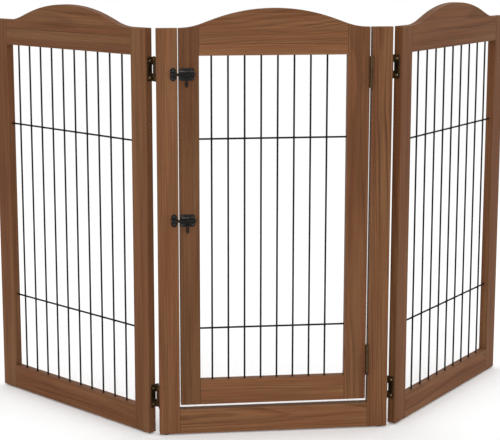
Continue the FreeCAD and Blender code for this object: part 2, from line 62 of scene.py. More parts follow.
# Mesh vertices closer to each other than this are one.
LOOSE = 0.001 * MM
log = logging.getLogger("gate")


def stained(red: int, green: int, blue: int) -> Colour:
    """Linear colour of a swatch read on a display.

    Args:
        red, green, blue: the swatch's display values, 0 to 255.

    Returns:
        Linear red, green, blue and an alpha of one.
    """
    def linear(value: int) -> float:
        """Linear share of one display value."""
        share = value / 255
        return share / 12.92 if share <= 0.04045 else ((share + 0.055) / 1.055) ** 2.4
    return linear(red), linear(green), linear(blue), 1.0


def in_scene(name: str, data: bpy.types.ID) -> Object:
    """New object with the given data, linked into the scene."""
    made = bpy.data.objects.new(name, data)
    bpy.context.scene.collection.objects.link(made)
    return made


def box_of(places: Sequence[Vector]) -> tuple[Vector, Vector]:
    """Lowest and highest corner of the box round some places."""
    return (Vector([min(p[k] for p in places) for k in range(3)]),
            Vector([max(p[k] for p in places) for k in range(3)]))


# ---------------------------------------------------------------- node trees

class NodeBench:
    """Puts nodes in one tree, for shader and geometry trees alike."""

    def __init__(self, tree: NodeTree) -> None:
        """Work on `tree`, which keeps whatever nodes it has."""
        self.tree = tree

    def add(self, kind: str, inputs: Mapping | Sequence = (), **settings) -> Node:
        """Add a node.

        Args:
            kind: the node's type name.
            inputs: values or sockets by input name or number, or in order.
            **settings: properties of the node itself.

        Returns:
            The new node.
        """
        node = self.tree.nodes.new(kind)
        for name, value in settings.items():
            setattr(node, name, value)
        self.feed(node, inputs)
        return node

    def feed(self, node: Node, inputs: Mapping | Sequence) -> None:
        """Link sockets to a node's inputs, or set values on them."""
        pairs = inputs.items() if isinstance(inputs, Mapping) else enumerate(inputs)
        for key, value in pairs:
            if isinstance(value, NodeSocket):
                self.tree.links.new(value, node.inputs[key])
            elif value is not None:
                node.inputs[key].default_value = value

    def group(self, tree: NodeTree, values: Mapping) -> Node:
        """Shader group node of `tree` with its inputs set or linked by name."""
        return self.add("ShaderNodeGroup", values, node_tree=tree)

    def math(self, operation: str, *values) -> NodeSocket:
        """Result of a math node on the given values or sockets."""
        return self.add("ShaderNodeMath", values, operation=operation).outputs[0]

    def vector(self, operation: str, *values) -> NodeSocket:
        """Vector result of a vector math node."""
        return self.add("ShaderNodeVectorMath", values, operation=operation).outputs[0]

    def noise(self, place, scale: float = 1.0, detail: float = 2.0,
              rough: float = 0.5) -> NodeSocket:
        """Value of a noise texture at `place`, about one half on average."""
        inputs = {"Vector": place, "Scale": scale, "Detail": detail, "Roughness": rough}
        return self.add("ShaderNodeTexNoise", inputs).outputs[0]

    def blend(self, share, first, second) -> NodeSocket:
        """Colour between two others."""
        return self.add("ShaderNodeMix", {0: share, 6: first, 7: second}, data_type="RGBA",
                        clamp_factor=True).outputs[2]

    def between(self, value, low: float, high: float, from_low: float = 0.0, from_high: float = 1.0,
                smooth: bool = False) -> NodeSocket:
        """Map a value's range to another, held at its ends."""
        kind = "SMOOTHSTEP" if smooth else "LINEAR"
        node = self.add("ShaderNodeMapRange", [value, from_low, from_high, low, high],
                        interpolation_type=kind)
        return node.outputs[0]


def new_group(name: str, kind: str, inputs: Iterable[tuple], outputs: Iterable[tuple],
              ) -> tuple[NodeTree, NodeBench, bpy.types.bpy_prop_collection]:
    """Node group with named sockets.

    Args:
        name: the group's name.
        kind: ShaderNodeTree or GeometryNodeTree.
        inputs: (name, what it holds, default or None) for each input.
        outputs: (name, what it holds) for each output.

    Returns:
        The group, a bench on it, and the sockets that give its inputs inside.
    """
    tree = bpy.data.node_groups.new(name, kind)
    for label, holds, default in inputs:
        socket = tree.interface.new_socket(name=label, in_out="INPUT",
                                           socket_type=f"NodeSocket{holds}")
        if default is not None:
            socket.default_value = default
    for label, holds in outputs:
        tree.interface.new_socket(name=label, in_out="OUTPUT", socket_type=f"NodeSocket{holds}")
    bench = NodeBench(tree)
    return tree, bench, bench.add("NodeGroupInput").outputs


def new_material(name: str) -> tuple[Material, NodeBench, Node]:
    """Material with a shader, the bench on its tree and the shader itself."""
    made = bpy.data.materials.new(name)
    made.use_nodes = True
    return made, NodeBench(made.node_tree), made.node_tree.nodes["Principled BSDF"]


# ---------------------------------------------------------------- shared effects

@dataclass(frozen=True)
class GrainLook:
    """How grain is drawn.

    Scales are per metre, across, through and along the grain. Spans go from low to high.
    """

    wander_scale: Triple = (9.0, 9.0, 1.3)
    wander_across: float = 30 * MM
    wander_through: float = 18 * MM
    ripple_scale: Triple = (30.0, 30.0, 3.4)
    ripple_years: float = 1.5
    growth_scale: float = 62.0
    growth_years: float = 5.0
    late_begins: Span = (0.30, 0.86)
    late_ends: Span = (0.90, 1.0)
    patch_scale: float = 2.6
    patch_strength: Span = (0.35, 1.1)
    year_strength: Span = (0.35, 1.25)
    fibre_scale: Triple = (620.0, 620.0, 11.0)
    fibre_light: Span = (0.80, 1.20)
    fibre_roughness: float = 0.16
    fibre_height: float = 0.45
    streak_scale: Triple = (170.0, 170.0, 3.2)
    streak_light: Span = (-0.16, 0.16)
    pore_scale: Triple = (1500.0, 1500.0, 42.0)
    pore_range: Span = (0.64, 0.74)
    pore_darkness: float = 0.26
    pore_roughness: float = 0.18
    drift_scale: Triple = (38.0, 38.0, 2.1)
    drift_range: Span = (0.32, 0.68)
    roughness: float = 0.44
    late_height: float = 0.3


def timber_grain_group(look: GrainLook = GrainLook()) -> NodeTree:
    """Grain of sawn timber as a solid pattern: growth rings, drifting stain, fibres and pores.

    Args:
        look: how the grain is drawn.

    Returns:
        A group that reads a place in a board, with the grain along Z, and gives colour, roughness
        and height.
    """
    tree, bench, given = new_group("timber_grain", "ShaderNodeTree", [
        ("Place", "Vector", None), ("Pith", "Vector", None), ("Ring Width", "Float", 0.004),
        ("Lean", "Float", 0.02), ("Ring Depth", "Float", 0.5), ("Early", "Color", None),
        ("Late", "Color", None), ("Drift", "Color", None), ("Tone", "Float", 1.0)],
        [("Color", "Color"), ("Roughness", "Float"), ("Height", "Float")])
    place = given["Place"]

    def stretched(scale: Triple) -> NodeSocket:
        """The place, multiplied axis by axis."""
        return bench.vector("MULTIPLY", place, scale)

    slow = stretched(look.wander_scale)
    wander = bench.math("SUBTRACT", bench.noise(slow), 0.5)
    ripple = bench.math("SUBTRACT", bench.noise(stretched(look.ripple_scale), detail=3.0), 0.5)

    from_pith = bench.vector("SUBTRACT", place, given["Pith"])
    parts = bench.add("ShaderNodeSeparateXYZ", [from_pith]).outputs
    along = bench.add("ShaderNodeSeparateXYZ", [place]).outputs[2]
    across = bench.math("MULTIPLY_ADD", along, given["Lean"], parts[0])
    across = bench.math("MULTIPLY_ADD", wander, look.wander_across, across)
    deep = bench.math("MULTIPLY_ADD", wander, look.wander_through, parts[1])
    radius = bench.math("SQRT", bench.math("ADD", bench.math("MULTIPLY", across, across),
                                           bench.math("MULTIPLY", deep, deep)))
    growth = bench.add("ShaderNodeCombineXYZ", [radius]).outputs[0]
    uneven = bench.math("SUBTRACT", bench.noise(growth, look.growth_scale), 0.5)
    year = bench.math("ADD", bench.math("DIVIDE", radius, given["Ring Width"]),
                      bench.math("MULTIPLY", ripple, look.ripple_years))
    year = bench.math("MULTIPLY_ADD", uneven, look.growth_years, year)
    season = bench.math("FRACT", year)
    dark_year = bench.add("ShaderNodeTexWhiteNoise", {"W": bench.math("FLOOR", year)},
                          noise_dimensions="1D").outputs["Value"]
    late = bench.math("MULTIPLY", bench.between(season, 0.0, 1.0, *look.late_begins, smooth=True),
                      bench.between(season, 1.0, 0.0, *look.late_ends, smooth=True))
    strength = bench.between(bench.noise(slow, look.patch_scale), *look.patch_strength, 0.3, 0.7)
    strength = bench.math("MULTIPLY", strength, bench.between(dark_year, *look.year_strength))
    late = bench.math("MULTIPLY", bench.math("MULTIPLY", late, given["Ring Depth"]), strength)

    fibre = bench.noise(stretched(look.fibre_scale), detail=3.0, rough=0.62)
    streak = bench.noise(stretched(look.streak_scale))
    pore = bench.noise(stretched(look.pore_scale), detail=1.0, rough=0.4)
    pore = bench.between(pore, 0.0, 1.0, *look.pore_range, smooth=True)

    drift = bench.between(bench.noise(stretched(look.drift_scale)), 0.0, 1.0, *look.drift_range)
    colour = bench.blend(drift, given["Early"], given["Drift"])
    colour = bench.blend(late, colour, given["Late"])
    light = bench.math("ADD", bench.between(fibre, *look.fibre_light, 0.25, 0.75),
                       bench.between(streak, *look.streak_light, 0.28, 0.72))
    tone = bench.math("SUBTRACT", given["Tone"], bench.math("MULTIPLY", pore, look.pore_darkness))
    light = bench.math("MULTIPLY", light, tone)
    bright = bench.add("ShaderNodeCombineXYZ", [light, light, light]).outputs[0]
    colour = bench.vector("MULTIPLY", colour, bright)
    rough = bench.math("MULTIPLY_ADD", fibre, look.fibre_roughness, look.roughness)
    rough = bench.math("MULTIPLY_ADD", pore, look.pore_roughness, rough)
    sunken = bench.math("ADD", pore, bench.math("MULTIPLY", late, look.late_height))
    height = bench.math("SUBTRACT", bench.math("MULTIPLY", fibre, look.fibre_height), sunken)
    bench.add("NodeGroupOutput", [colour, rough, height])
    return tree


def arris_group() -> NodeTree:
    """Masks of a board's sanded edges and of a painted shade line along its edges and joints.

    Returns:
        A group that reads a place from the board's middle, the board's half size, how far the
        sanding reaches and how wide the painted shade line is. Its first mask is one on the edges
        between two faces and zero on the faces, broken up along the edge. Its second is a painted
        shade line on the edge, standing for the shade in the groove of the eased edge.
    """
    tree, bench, given = new_group("board_arris", "ShaderNodeTree", [
        ("Place", "Vector", None), ("Half Size", "Vector", None), ("Reach", "Float", 0.003),
        ("Line", "Float", 0.0005)], [("Mask", "Float"), ("Seam", "Float")])
    inside = bench.vector("SUBTRACT", given["Half Size"], bench.vector("ABSOLUTE", given["Place"]))
    x, y, z = bench.add("ShaderNodeSeparateXYZ", [inside]).outputs
    nearer = bench.math("MINIMUM", x, y)
    farther = bench.math("MAXIMUM", x, y)
    second = bench.math("MAXIMUM", nearer, bench.math("MINIMUM", farther, z))
    near = bench.math("SUBTRACT", 1.0, bench.math("DIVIDE", second, given["Reach"]))
    broken = bench.vector("MULTIPLY", given["Place"], (60.0, 60.0, 26.0))
    uneven = bench.between(bench.noise(broken, detail=3.0), 0.35, 1.0, 0.3, 0.7)
    mask = bench.math("MULTIPLY", bench.math("MAXIMUM", near, 0.0), uneven)
    # Painted shade line: full up to the line's width, then fading out over as much again.
    groove_shade = bench.math("SUBTRACT", 2.0, bench.math("DIVIDE", second, given["Line"]))
    bench.add("NodeGroupOutput", [mask, bench.between(groove_shade, 0.0, 1.0)])
    return tree


def worn_metal_group() -> NodeTree:
    """Cloudy coating on metal, rubbed through to a second colour on its edges.

    Returns:
        A group that reads a place and an edge mask and gives colour, roughness, bare metal share
        and height.
    """
    tree, bench, given = new_group("worn_metal", "ShaderNodeTree", [
        ("Place", "Vector", None), ("Edge", "Float", 0.0), ("Coat", "Color", None),
        ("Cloud", "Color", None), ("Bare", "Color", None), ("Rub", "Float", 0.5),
        ("Coat Roughness", "Float", 0.4), ("Grit", "Float", 900.0)],
        [("Color", "Color"), ("Roughness", "Float"), ("Bare Share", "Float"),
         ("Height", "Float")])
    cloud = bench.noise(given["Place"], scale=130.0, detail=4.0, rough=0.6)
    cloud = bench.between(cloud, 0.0, 1.0, 0.35, 0.65)
    grit = bench.add("ShaderNodeTexNoise", {"Vector": given["Place"], "Scale": given["Grit"],
                                            "Detail": 2.0}).outputs[0]
    patchy = bench.noise(given["Place"], scale=420.0, detail=3.0, rough=0.65)
    patchy = bench.between(patchy, 0.0, 1.6, 0.38, 0.62)
    bare = bench.math("MULTIPLY", bench.math("MULTIPLY", given["Edge"], patchy), given["Rub"])
    bare = bench.math("MINIMUM", bare, 1.0)
    colour = bench.blend(cloud, given["Coat"], given["Cloud"])
    colour = bench.blend(bare, colour, given["Bare"])
    rough = bench.math("MULTIPLY_ADD", bench.math("SUBTRACT", grit, 0.5), 0.25,
                       given["Coat Roughness"])
    rough = bench.math("MULTIPLY_ADD", bare, -0.10, rough)
    bench.add("NodeGroupOutput", [colour, rough, bare, grit])
    return tree


# ---------------------------------------------------------------- finishes

class Run(Enum):
    """Which way a member's grain runs in its panel."""

    UPRIGHT = "upright"
    LEVEL = "level"


@dataclass(frozen=True)
class BoardCut:
    """Where in the log a board was sawn, from its own middle, in metres."""

    pith: Span
    ring_width: float
    lean: float = 0.0
    depth: float = 0.6
    tone: float = 1.0


@dataclass(frozen=True)
class TimberFinish:
    """Stain and lacquer on the timber, its rubbed edges, and a painted shade line along its edges
    and joints.
    """

    early: Colour
    late: Colour
    drift: Colour
    rubbed: Colour
    # Painted shade: colour, width and share of the thin dark line along every edge, for the shade
    # in the eased edge's groove.
    groove_shade: Colour
    arris_reach: float = 2.4 * MM
    arris_share: float = 0.35
    groove_shade_width: float = 0.3 * MM
    groove_shade_share: float = 0.7
    pore_depth: float = 0.10 * MM
    relief_strength: float = 0.5
    lacquer: float = 0.02
    lacquer_roughness: float = 0.32
    gloss: float = 0.06
    log_spacing: float = 1.7

    def material(self, name: str, to_board: Matrix, half_size: Vector, cut: BoardCut,
                 seed: int, groups: Groups) -> Material:
        """Material of one board.

        Args:
            name: the material's name.
            to_board: turns a place in the gate into one from the board's middle, grain along Z.
            half_size: half of the board's size across, through and along the grain.
            cut: how the board was sawn.
            seed: sets the board apart from the others.
            groups: the shared effects by name.

        Returns:
            The finished material.
        """
        made, bench, shader = new_material(name)
        coords = bench.add("ShaderNodeTexCoord").outputs["Object"]
        turn, shift = to_board.to_euler("XYZ"), to_board.to_translation()
        board = bench.add("ShaderNodeMapping", {"Vector": coords, "Location": shift,
                                                "Rotation": turn}).outputs[0]
        up_log = self.log_spacing * seed
        in_log = bench.add("ShaderNodeMapping", {"Vector": board, "Location": (0.0, 0.0, up_log)})
        # The lean counts from the board's middle, so the pith moves by what it adds up the log.
        pith = (cut.pith[0] + cut.lean * up_log, cut.pith[1], 0.0)
        grain = bench.group(groups["timber_grain"], {
            "Place": in_log.outputs[0], "Pith": pith,
            "Ring Width": cut.ring_width, "Lean": cut.lean, "Ring Depth": cut.depth,
            "Early": self.early, "Late": self.late, "Drift": self.drift, "Tone": cut.tone})
        arris = bench.group(groups["board_arris"], {
            "Place": board, "Half Size": half_size, "Reach": self.arris_reach,
            "Line": self.groove_shade_width})
        rubbed = bench.math("MULTIPLY", arris.outputs["Mask"], self.arris_share)
        colour = bench.blend(rubbed, grain.outputs["Color"], self.rubbed)
        # Painted shade: darken a thin line along every edge, where the groove of the eased edge
        # would be in shade.
        painted_shade = bench.math("MULTIPLY", arris.outputs["Seam"], self.groove_shade_share)
        colour = bench.blend(painted_shade, colour, self.groove_shade)
        bump = bench.add("ShaderNodeBump", {
            "Strength": self.relief_strength, "Distance": self.pore_depth,
            "Height": grain.outputs["Height"]})
        bench.feed(shader, {
            "Base Color": colour, "Roughness": grain.outputs["Roughness"],
            "Normal": bump.outputs[0], "Specular IOR Level": self.gloss,
            "Coat Weight": self.lacquer, "Coat Roughness": self.lacquer_roughness})
        return made


@dataclass(frozen=True)
class MetalFinish:
    """Coated or bare metal; plastic too, with nothing metallic in it."""

    name: str
    coat: Colour
    cloud: Colour
    bare: Colour
    metallic: float
    roughness: float
    rub: float
    grit: float = 900.0
    relief: float = 0.02 * MM
    relief_strength: float = 0.4
    gloss: float = 0.5

    def material(self, groups: Groups) -> Material:
        """Material with this finish, rubbed where the mesh's `edge` attribute says."""
        made, bench, shader = new_material(self.name)
        edge = bench.add("ShaderNodeAttribute", attribute_name="edge").outputs["Fac"]
        coords = bench.add("ShaderNodeTexCoord").outputs["Object"]
        worn = bench.group(groups["worn_metal"], {
            "Place": coords, "Edge": edge, "Coat": self.coat, "Cloud": self.cloud,
            "Bare": self.bare, "Rub": self.rub, "Coat Roughness": self.roughness,
            "Grit": self.grit})
        metal = bench.between(worn.outputs["Bare Share"], self.metallic, 1.0)
        bump = bench.add("ShaderNodeBump", {
            "Strength": self.relief_strength, "Distance": self.relief,
            "Height": worn.outputs["Height"]})
        bench.feed(shader, {
            "Base Color": worn.outputs["Color"], "Roughness": worn.outputs["Roughness"],
            "Metallic": metal, "Normal": bump.outputs[0], "Specular IOR Level": self.gloss})
        return made


# The fifth colour of each timber finish, the dark one drawn in a thin line along the board edges,
# is painted shade for the groove of the eased edges.
WALNUT = TimberFinish(early=stained(121, 84, 56), late=stained(70, 42, 25),
                      drift=stained(110, 69, 44), rubbed=stained(130, 92, 63),
                      groove_shade=stained(44, 27, 18))
BEECH = TimberFinish(early=stained(196, 160, 118), late=stained(168, 128, 88),
                     drift=stained(188, 146, 104), rubbed=stained(205, 172, 130),
                     groove_shade=stained(150, 116, 82), lacquer=0.0)
BLACK_BAR = MetalFinish("black_bar", stained(11, 11, 12), stained(16, 16, 17), stained(60, 60, 62),
                        metallic=0.0, roughness=0.40, rub=0.1, grit=1500.0, gloss=0.14)
BLACK_LATCH = MetalFinish("black_latch", stained(22, 21, 21), stained(28, 27, 26),
                          stained(120, 114, 106), metallic=0.5, roughness=0.32, rub=0.5, gloss=0.22)
BLACK_SCREW = MetalFinish("black_screw", stained(24, 23, 23), stained(34, 32, 31),
                          stained(146, 139, 128), metallic=0.55, roughness=0.33, rub=0.9,
                          gloss=0.25)
BRONZE = MetalFinish("bronze_hinge", stained(86, 66, 42), stained(60, 47, 31),
                     stained(160, 128, 84), metallic=0.85, roughness=0.38, rub=0.55)
BRIGHT_BRONZE = MetalFinish("bronze_screw", stained(134, 110, 76), stained(100, 82, 57),
                            stained(214, 192, 154), metallic=0.9, roughness=0.30, rub=0.9)
GLIDE_PLASTIC = MetalFinish("glide_plastic", stained(44, 34, 28), stained(52, 41, 33),
                            stained(72, 58, 48), metallic=0.0, roughness=0.52, rub=0.4,
                            grit=2200.0)


# ---------------------------------------------------------------- places

@dataclass(frozen=True)
class Panel:
    """One of the three panels, which knows how it is turned at rest.

    Args:
        name: its body's name and the start of its nodes' names.
        joint: the joint it folds on, or None for the middle.
    """

    name: str
    joint: str | None = None

    def turned(self) -> Matrix:
        """Matrix from the panel drawn in line with the middle one to the panel at rest."""
        if self.joint is None:
            return Matrix.Identity(4)
        fold = next(j for j in frame["joints"] if j["name"] == self.joint)
        pivot, axis = Vector(fold["pos_m"]), Vector(fold["axis"])
        back = -math.radians(fold["range_deg"][0])
        return (Matrix.Translation(pivot) @ Matrix.Rotation(back, 4, axis)
                @ Matrix.Translation(-pivot))

    def box(self, node: str) -> tuple[Vector, Vector]:
        """Lowest and highest corner of a node, with the panel in line."""
        straight = self.turned().inverted()
        return box_of([straight @ vertex.co for vertex in frame["nodes"][node].data.vertices])


MIDDLE = Panel("centre_frame")
DOOR = Panel("door")
LEFT_WING = Panel("left_wing", "left_wing_fold")
RIGHT_WING = Panel("right_wing", "right_wing_fold")


def solid_copy(node: str) -> BMesh:
    """Copy of a CAD node's mesh with its loose triangles joined."""
    mesh = bmesh.new()
    mesh.from_mesh(frame["nodes"][node].data)
    bmesh.ops.remove_doubles(mesh, verts=mesh.verts, dist=LOOSE)
    return mesh


def plain_mesh(name: str, mesh: BMesh) -> Mesh:
    """Turn a mesh being edited into a plain one and free it."""
    made = bpy.data.meshes.new(name)
    mesh.to_mesh(made)
    mesh.free()
    return made


def place_piece(name: str, mesh: Mesh, body: str, nodes: Sequence[str],
                material: Material) -> Object:
    """Add a finished piece that stands for CAD nodes and rides on their body.

    Args:
        name: the piece's name.
        mesh: its mesh, in place.
        body: the body it rides on.
        nodes: the CAD nodes it stands for; none for a piece that is an extra.
        material: its only material.

    Returns:
        The new object.
    """
    mesh.materials.clear()
    mesh.materials.append(material)
    piece = in_scene(name, mesh)
    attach(piece, body)
    if nodes:
        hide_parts(*nodes)
    log.info("%s: %d faces on %s", name, len(mesh.polygons), body)
    return piece


def apply_tree(tree: NodeTree, base: Mesh, values: Mapping) -> Mesh:
    """Plain mesh that a geometry tree makes.

    Args:
        tree: the tree.
        base: the mesh that it starts from.
        values: value of each named input.

    Returns:
        The evaluated mesh.
    """
    carrier = in_scene("carrier", base)
    modifier = carrier.modifiers.new("tree", "NODES")
    modifier.node_group = tree
    sockets = {item.name: item.identifier for item in tree.interface.items_tree
               if item.in_out == "INPUT"}
    for name, value in values.items():
        modifier[sockets[name]] = value
    bpy.context.view_layer.update()
    graph = bpy.context.evaluated_depsgraph_get()
    made = bpy.data.meshes.new_from_object(carrier.evaluated_get(graph))
    carrier.modifiers.clear()
    bpy.data.objects.remove(carrier)
    return made


# ---------------------------------------------------------------- timber

@dataclass
class TimberWork:
    """All boards of the gate and their dowels."""

    cuts: Mapping[str, BoardCut]
    groups: Groups
    finish: TimberFinish = WALNUT
    dowel_finish: TimberFinish = BEECH
    dowel_cut: BoardCut = BoardCut(pith=(0.03, 0.02), ring_width=1.8 * MM)
    first_dowel_seed: int = 30

    def boards(self) -> list[tuple[Panel, str, Run]]:
        """Every board with its panel and its grain's run."""
        middle = [(MIDDLE, "left_post", Run.UPRIGHT), (MIDDLE, "right_post", Run.UPRIGHT),
                  (MIDDLE, "frame_bottom_rail", Run.LEVEL)]
        door = [(DOOR, "door_latch_stile", Run.UPRIGHT), (DOOR, "door_hinge_stile", Run.UPRIGHT),
                (DOOR, "door_bottom_rail", Run.LEVEL), (DOOR, "door_top_strip", Run.LEVEL),
                (DOOR, "door_crest", Run.LEVEL)]
        kinds = (("near_stile", Run.UPRIGHT), ("far_stile", Run.UPRIGHT),
                 ("bottom_rail", Run.LEVEL), ("top_strip", Run.LEVEL), ("crest", Run.LEVEL))
        wings = [(wing, f"{wing.name}_{kind}", run) for wing in (LEFT_WING, RIGHT_WING)
                 for kind, run in kinds]
        return middle + door + wings

    def to_board(self, panel: Panel, low: Vector, high: Vector, run: Run) -> tuple[Matrix, Vector]:
        """Matrix from the gate to a board's middle with the grain along Z, and its half size."""
        middle, half = (low + high) / 2, (high - low) / 2
        straight = Matrix.Translation(-middle) @ panel.turned().inverted()
        if run is Run.UPRIGHT:
            return straight, half
        return Matrix.Rotation(math.pi / 2, 4, "Y") @ straight, Vector((half.z, half.y, half.x))

    def dress_node(self, panel: Panel, node: str, run: Run, finish: TimberFinish, cut: BoardCut,
                   seed: int) -> None:
        """Give one CAD node its own grain.

        Args:
            panel: the panel that the node is part of.
            node: the node's name.
            run: which way its grain runs.
            finish: its stain and lacquer.
            cut: how it was sawn.
            seed: sets it apart from the others.
        """
        to_board, half = self.to_board(panel, *panel.box(node), run)
        materials = frame["nodes"][node].data.materials
        materials.clear()
        materials.append(finish.material(f"timber_{node}", to_board, half, cut, seed, self.groups))
        log.info("%s: %s grain", node, run.value)

    def dress(self) -> None:
        """Give every board stained timber, and the dowels of each panel bare timber."""
        for seed, (panel, node, run) in enumerate(self.boards(), start=1):
            self.dress_node(panel, node, run, self.finish, self.cuts[node], seed)
        panels = (MIDDLE, DOOR, LEFT_WING, RIGHT_WING)
        for seed, panel in enumerate(panels, start=self.first_dowel_seed):
            node = "frame_dowels" if panel is MIDDLE else f"{panel.name}_dowels"
            self.dress_node(panel, node, Run.LEVEL, self.dowel_finish, self.dowel_cut, seed)


BOARD_CUTS = {
    "left_post": BoardCut((0.085, 0.030), 3.3 * MM, 0.006, 0.55, 1.04),
    "right_post": BoardCut((0.012, -0.046), 2.7 * MM, 0.030, 0.75, 0.97),
    "frame_bottom_rail": BoardCut((0.020, 0.060), 2.3 * MM, 0.022, 0.70, 1.14),
    "door_latch_stile": BoardCut((-0.090, 0.020), 3.6 * MM, 0.003, 0.45, 0.76),
    "door_hinge_stile": BoardCut((0.004, 0.052), 2.8 * MM, 0.020, 0.65, 0.92),
    "door_bottom_rail": BoardCut((-0.015, 0.050), 2.5 * MM, -0.020, 0.60, 1.08),
    "door_top_strip": BoardCut((0.060, 0.030), 3.1 * MM, 0.010, 0.40, 1.12),
    "door_crest": BoardCut((0.040, 0.062), 2.8 * MM, 0.030, 0.70, 1.05),
    "left_wing_near_stile": BoardCut((0.075, 0.040), 3.0 * MM, 0.008, 0.55, 0.92),
    "left_wing_far_stile": BoardCut((-0.080, 0.030), 3.1 * MM, 0.004, 0.50, 0.89),
    "left_wing_bottom_rail": BoardCut((0.010, 0.060), 2.5 * MM, 0.018, 0.60, 0.98),
    "left_wing_top_strip": BoardCut((0.070, 0.030), 2.8 * MM, -0.012, 0.45, 0.87),
    "left_wing_crest": BoardCut((-0.012, 0.050), 3.3 * MM, -0.024, 0.70, 0.95),
    "right_wing_near_stile": BoardCut((0.070, -0.035), 2.8 * MM, 0.006, 0.55, 0.91),
    "right_wing_far_stile": BoardCut((-0.060, -0.040), 3.0 * MM, 0.010, 0.50, 0.91),
    "right_wing_bottom_rail": BoardCut((0.012, -0.055), 2.7 * MM, 0.018, 0.60, 0.98),
    "right_wing_top_strip": BoardCut((0.062, 0.030), 3.0 * MM, 0.010, 0.45, 0.92),
    "right_wing_crest": BoardCut((0.010, 0.058), 3.1 * MM, 0.022, 0.65, 0.95),
}


# ---------------------------------------------------------------- wire bars

def hand_out(bench: NodeBench, copies: Node, material: NodeSocket, smooth: bool = True) -> None:
    """End a geometry tree: make the copies real, shade them and give them their material."""
    made = bench.add("GeometryNodeRealizeInstances", [copies.outputs[0]])
    if smooth:
        made = bench.add("GeometryNodeSetShadeSmooth", {"Geometry": made.outputs[0]})
    dressed = bench.add("GeometryNodeSetMaterial", {"Geometry": made.outputs[0],
                                                    "Material": material})
    bench.add("NodeGroupOutput", [dressed.outputs[0]])


def bar_row_tree(points_along: int = 25, waver_scale: float = 5.0) -> NodeTree:
    """Geometry tree of a row of round bars, each bent a little.

    Args:
        points_along: how many points a bar has along it.
        waver_scale: how fast the bending changes along a bar, per metre.

    Returns:
        The tree, with the row's count, start, step, run and radius as named inputs.
    """
    tree, bench, given = new_group("bar_row", "GeometryNodeTree", [
        ("Geometry", "Geometry", None), ("Count", "Int", 8), ("Start", "Vector", None),
        ("Step", "Vector", None), ("Run", "Vector", None), ("Radius", "Float", 2.0 * MM),
        ("Sides", "Int", 20), ("Waver", "Float", 0.0), ("Seed", "Int", 1),
        ("Material", "Material", None)], [("Geometry", "Geometry")])
    row = bench.add("GeometryNodeMeshLine", {
        "Count": given["Count"], "Start Location": given["Start"], "Offset": given["Step"]})
    line = bench.add("GeometryNodeCurvePrimitiveLine", {"End": given["Run"]})
    fine = bench.add("GeometryNodeResampleCurve", {"Curve": line.outputs[0],
                                                   "Count": points_along})
    spot = bench.add("GeometryNodeInputPosition").outputs[0]
    waver = bench.add("ShaderNodeTexNoise", {"Vector": spot, "Scale": waver_scale}).outputs["Color"]
    waver = bench.vector("SUBTRACT", waver, (0.5, 0.5, 0.5))
    offset = bench.add("ShaderNodeVectorMath", {0: waver, 3: given["Waver"]}, operation="SCALE")
    bent = bench.add("GeometryNodeSetPosition", {
        "Geometry": fine.outputs[0], "Offset": offset.outputs[0]})
    ring = bench.add("GeometryNodeCurvePrimitiveCircle", {
        "Resolution": given["Sides"], "Radius": given["Radius"]})
    bar = bench.add("GeometryNodeCurveToMesh", {
        "Curve": bent.outputs[0], "Profile Curve": ring.outputs[0], "Fill Caps": True})
    spin = bench.add("FunctionNodeRandomValue", {2: -math.pi, 3: math.pi, "Seed": given["Seed"]},
                     data_type="FLOAT")
    along = bench.add("ShaderNodeVectorMath", [given["Run"]], operation="NORMALIZE").outputs[0]
    turn = bench.add("FunctionNodeAxisAngleToRotation", {"Axis": along, "Angle": spin.outputs[1]})
    bars = bench.add("GeometryNodeInstanceOnPoints", {
        "Points": row.outputs[0], "Instance": bar.outputs[0], "Rotation": turn.outputs[0]})
    hand_out(bench, bars, given["Material"])
    return tree


def weld_tree(least: Triple = (0.95, 0.9, 0.9), most: Triple = (1.25, 1.1, 1.2)) -> NodeTree:
    """Geometry tree of the weld beads where level bars cross upright ones.

    Args:
        least, most: a bead's smallest and largest stretch along X, Y and Z.

    Returns:
        The tree, with the grid of crossings and the bead's radius as named inputs.
    """
    tree, bench, given = new_group("weld_beads", "GeometryNodeTree", [
        ("Geometry", "Geometry", None), ("Count", "Int", 8), ("Start", "Vector", None),
        ("Step", "Vector", None), ("Level Step", "Vector", None),
        ("Radius", "Float", 2.0 * MM), ("Seed", "Int", 1), ("Material", "Material", None)],
        [("Geometry", "Geometry")])
    row = bench.add("GeometryNodeMeshLine", {
        "Count": given["Count"], "Start Location": given["Start"], "Offset": given["Step"]})
    levels = bench.add("GeometryNodeMeshLine", {"Count": 2, "Offset": given["Level Step"]})
    grid = bench.add("GeometryNodeInstanceOnPoints", {"Points": levels.outputs[0],
                                                      "Instance": row.outputs[0]})
    crossings = bench.add("GeometryNodeRealizeInstances", [grid.outputs[0]])
    bead = bench.add("GeometryNodeMeshIcoSphere", {"Radius": given["Radius"], "Subdivisions": 3})
    size = bench.add("FunctionNodeRandomValue", {0: least, 1: most, "Seed": given["Seed"]},
                     data_type="FLOAT_VECTOR")
    beads = bench.add("GeometryNodeInstanceOnPoints", {
        "Points": crossings.outputs[0], "Instance": bead.outputs[0], "Scale": size.outputs[0]})
    hand_out(bench, beads, given["Material"])
    return tree


